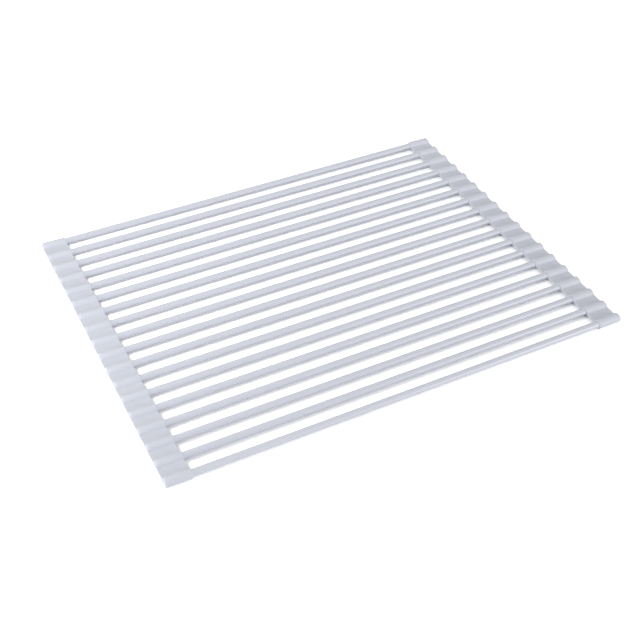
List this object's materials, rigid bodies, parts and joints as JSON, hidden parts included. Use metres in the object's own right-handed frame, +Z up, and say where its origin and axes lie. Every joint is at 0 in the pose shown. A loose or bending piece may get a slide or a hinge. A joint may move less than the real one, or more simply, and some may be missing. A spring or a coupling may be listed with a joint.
{
  "type": "roll up dish drying rack",
  "caption": "Roll up dish drying rack: silicone-covered steel rods held side by side by two ridged silicone edge strips that bend between the rods.",
  "frame": {"origin": "centre of the underside, on the surface that the rack lies on", "axes": "+X along the rods to the right edge strip, +Y across the rods to the back, +Z up"},
  "size_m": [0.444, 0.3488, 0.0085],
  "materials": {
    "silicone": "matte light grey silicone",
    "steel": "plain drawn rod, hidden in the silicone"
  },
  "bodies": {
    "link_01": {"silicone_link_01": "silicone", "steel_rod_01": "steel"},
    "link_02": {"silicone_link_02": "silicone", "steel_rod_02": "steel"},
    "link_03": {"silicone_link_03": "silicone", "steel_rod_03": "steel"},
    "link_04": {"silicone_link_04": "silicone", "steel_rod_04": "steel"},
    "link_05": {"silicone_link_05": "silicone", "steel_rod_05": "steel"},
    "link_06": {"silicone_link_06": "silicone", "steel_rod_06": "steel"},
    "link_07": {"silicone_link_07": "silicone", "steel_rod_07": "steel"},
    "link_08": {"silicone_link_08": "silicone", "steel_rod_08": "steel"},
    "link_09": {"silicone_link_09": "silicone", "steel_rod_09": "steel"},
    "link_10": {"silicone_link_10": "silicone", "steel_rod_10": "steel"},
    "link_11": {"silicone_link_11": "silicone", "steel_rod_11": "steel"},
    "link_12": {"silicone_link_12": "silicone", "steel_rod_12": "steel"},
    "link_13": {"silicone_link_13": "silicone", "steel_rod_13": "steel"},
    "link_14": {"silicone_link_14": "silicone", "steel_rod_14": "steel"},
    "link_15": {"silicone_link_15": "silicone", "steel_rod_15": "steel"},
    "link_16": {"silicone_link_16": "silicone", "steel_rod_16": "steel"},
    "link_17": {"silicone_link_17": "silicone", "steel_rod_17": "steel"},
    "link_18": {"silicone_link_18": "silicone", "steel_rod_18": "steel"}
  },
  "joints": [
    {"name": "web_bend_01", "type": "hinge", "parent": "link_01", "child": "link_02", "pos_m": [0, -0.16, 0.0036], "axis": [1, 0, 0], "range_deg": [-33.01, 33.01], "stiffness_Nm_per_rad": 0.005},
    {"name": "web_bend_02", "type": "hinge", "parent": "link_02", "child": "link_03", "pos_m": [0, -0.14, 0.0036], "axis": [1, 0, 0], "range_deg": [-33.93, 33.93], "stiffness_Nm_per_rad": 0.005},
    {"name": "web_bend_03", "type": "hinge", "parent": "link_03", "child": "link_04", "pos_m": [0, -0.12, 0.0036], "axis": [1, 0, 0], "range_deg": [-34.94, 34.94], "stiffness_Nm_per_rad": 0.005},
    {"name": "web_bend_04", "type": "hinge", "parent": "link_04", "child": "link_05", "pos_m": [0, -0.1, 0.0036], "axis": [1, 0, 0], "range_deg": [-36.05, 36.05], "stiffness_Nm_per_rad": 0.005},
    {"name": "web_bend_05", "type": "hinge", "parent": "link_05", "child": "link_06", "pos_m": [0, -0.08, 0.0036], "axis": [1, 0, 0], "range_deg": [-37.27, 37.27], "stiffness_Nm_per_rad": 0.005},
    {"name": "web_bend_06", "type": "hinge", "parent": "link_06", "child": "link_07", "pos_m": [0, -0.06, 0.0036], "axis": [1, 0, 0], "range_deg": [-38.62, 38.62], "stiffness_Nm_per_rad": 0.005},
    {"name": "web_bend_07", "type": "hinge", "parent": "link_07", "child": "link_08", "pos_m": [0, -0.04, 0.0036], "axis": [1, 0, 0], "range_deg": [-40.13, 40.13], "stiffness_Nm_per_rad": 0.005},
    {"name": "web_bend_08", "type": "hinge", "parent": "link_08", "child": "link_09", "pos_m": [0, -0.02, 0.0036], "axis": [1, 0, 0], "range_deg": [-41.83, 41.83], "stiffness_Nm_per_rad": 0.005},
    {"name": "web_bend_09", "type": "hinge", "parent": "link_09", "child": "link_10", "pos_m": [0, 0, 0.0036], "axis": [1, 0, 0], "range_deg": [-43.77, 43.77], "stiffness_Nm_per_rad": 0.005},
    {"name": "web_bend_10", "type": "hinge", "parent": "link_10", "child": "link_11", "pos_m": [0, 0.02, 0.0036], "axis": [1, 0, 0], "range_deg": [-46.01, 46.01], "stiffness_Nm_per_rad": 0.005},
    {"name": "web_bend_11", "type": "hinge", "parent": "link_11", "child": "link_12", "pos_m": [0, 0.04, 0.0036], "axis": [1, 0, 0], "range_deg": [-48.63, 48.63], "stiffness_Nm_per_rad": 0.005},
    {"name": "web_bend_12", "type": "hinge", "parent": "link_12", "child": "link_13", "pos_m": [0, 0.06, 0.0036], "axis": [1, 0, 0], "range_deg": [-51.77, 51.77], "stiffness_Nm_per_rad": 0.005},
    {"name": "web_bend_13", "type": "hinge", "parent": "link_13", "child": "link_14", "pos_m": [0, 0.08, 0.0036], "axis": [1, 0, 0], "range_deg": [-55.59, 55.59], "stiffness_Nm_per_rad": 0.005},
    {"name": "web_bend_14", "type": "hinge", "parent": "link_14", "child": "link_15", "pos_m": [0, 0.1, 0.0036], "axis": [1, 0, 0], "range_deg": [-60.43, 60.43], "stiffness_Nm_per_rad": 0.005},
    {"name": "web_bend_15", "type": "hinge", "parent": "link_15", "child": "link_16", "pos_m": [0, 0.12, 0.0036], "axis": [1, 0, 0], "range_deg": [-66.81, 66.81], "stiffness_Nm_per_rad": 0.005},
    {"name": "web_bend_16", "type": "hinge", "parent": "link_16", "child": "link_17", "pos_m": [0, 0.14, 0.0036], "axis": [1, 0, 0], "range_deg": [-75.81, 75.81], "stiffness_Nm_per_rad": 0.005},
    {"name": "web_bend_17", "type": "hinge", "parent": "link_17", "child": "link_18", "pos_m": [0, 0.16, 0.0036], "axis": [1, 0, 0], "range_deg": [-89.99, 89.99], "stiffness_Nm_per_rad": 0.005}
  ]
}
